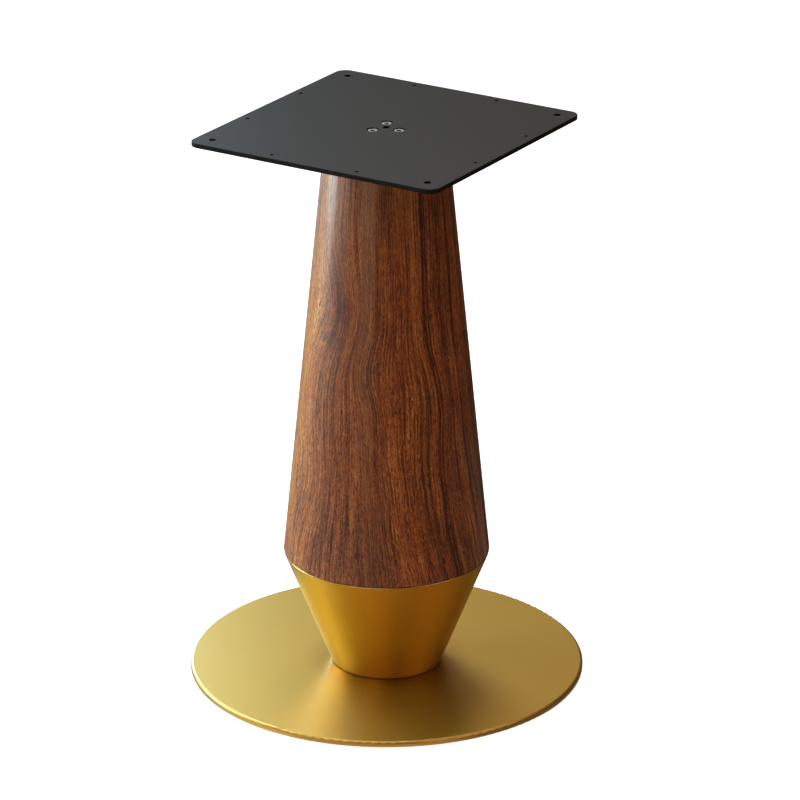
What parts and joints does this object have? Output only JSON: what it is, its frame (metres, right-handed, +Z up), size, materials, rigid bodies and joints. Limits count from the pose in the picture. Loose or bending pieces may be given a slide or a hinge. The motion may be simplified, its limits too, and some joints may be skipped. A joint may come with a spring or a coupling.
{
  "type": "pedestal table base",
  "caption": "Tapered wooden pedestal on an inverted metal cone and a round flat foot disc, with a square drilled steel plate on top to carry a table top.",
  "frame": {"origin": "on the floor, on the axis of the column", "axes": "+Z up along the column's axis; X and Y along the sides of the square top plate"},
  "size_m": [0.4999, 0.5, 0.72],
  "materials": {
    "black_steel": "satin black powder coat",
    "gilt_steel": "satin gold plating, lacquered",
    "walnut": "satin lacquered walnut, grain up the cone",
    "bare_steel": "plain mill finish",
    "zinc_steel": "bright zinc plating",
    "pad_rubber": "matt black"
  },
  "bodies": {
    "root": {"top_plate": "black_steel", "hub_disc": "black_steel", "core_head": "bare_steel", "core_tube": "bare_steel", "core_flange": "bare_steel", "column_shell": "walnut", "foot_cone": "gilt_steel", "seat_ring": "bare_steel", "base_disc": "gilt_steel", "top_screw_1": "zinc_steel", "top_screw_2": "zinc_steel", "top_screw_3": "zinc_steel", "base_screw_1": "zinc_steel", "base_screw_2": "zinc_steel", "base_screw_3": "zinc_steel", "base_screw_4": "zinc_steel", "floor_pad_1": "pad_rubber", "floor_pad_2": "pad_rubber", "floor_pad_3": "pad_rubber", "floor_pad_4": "pad_rubber", "floor_pad_5": "pad_rubber", "floor_pad_6": "pad_rubber"}
  },
  "joints": []
}
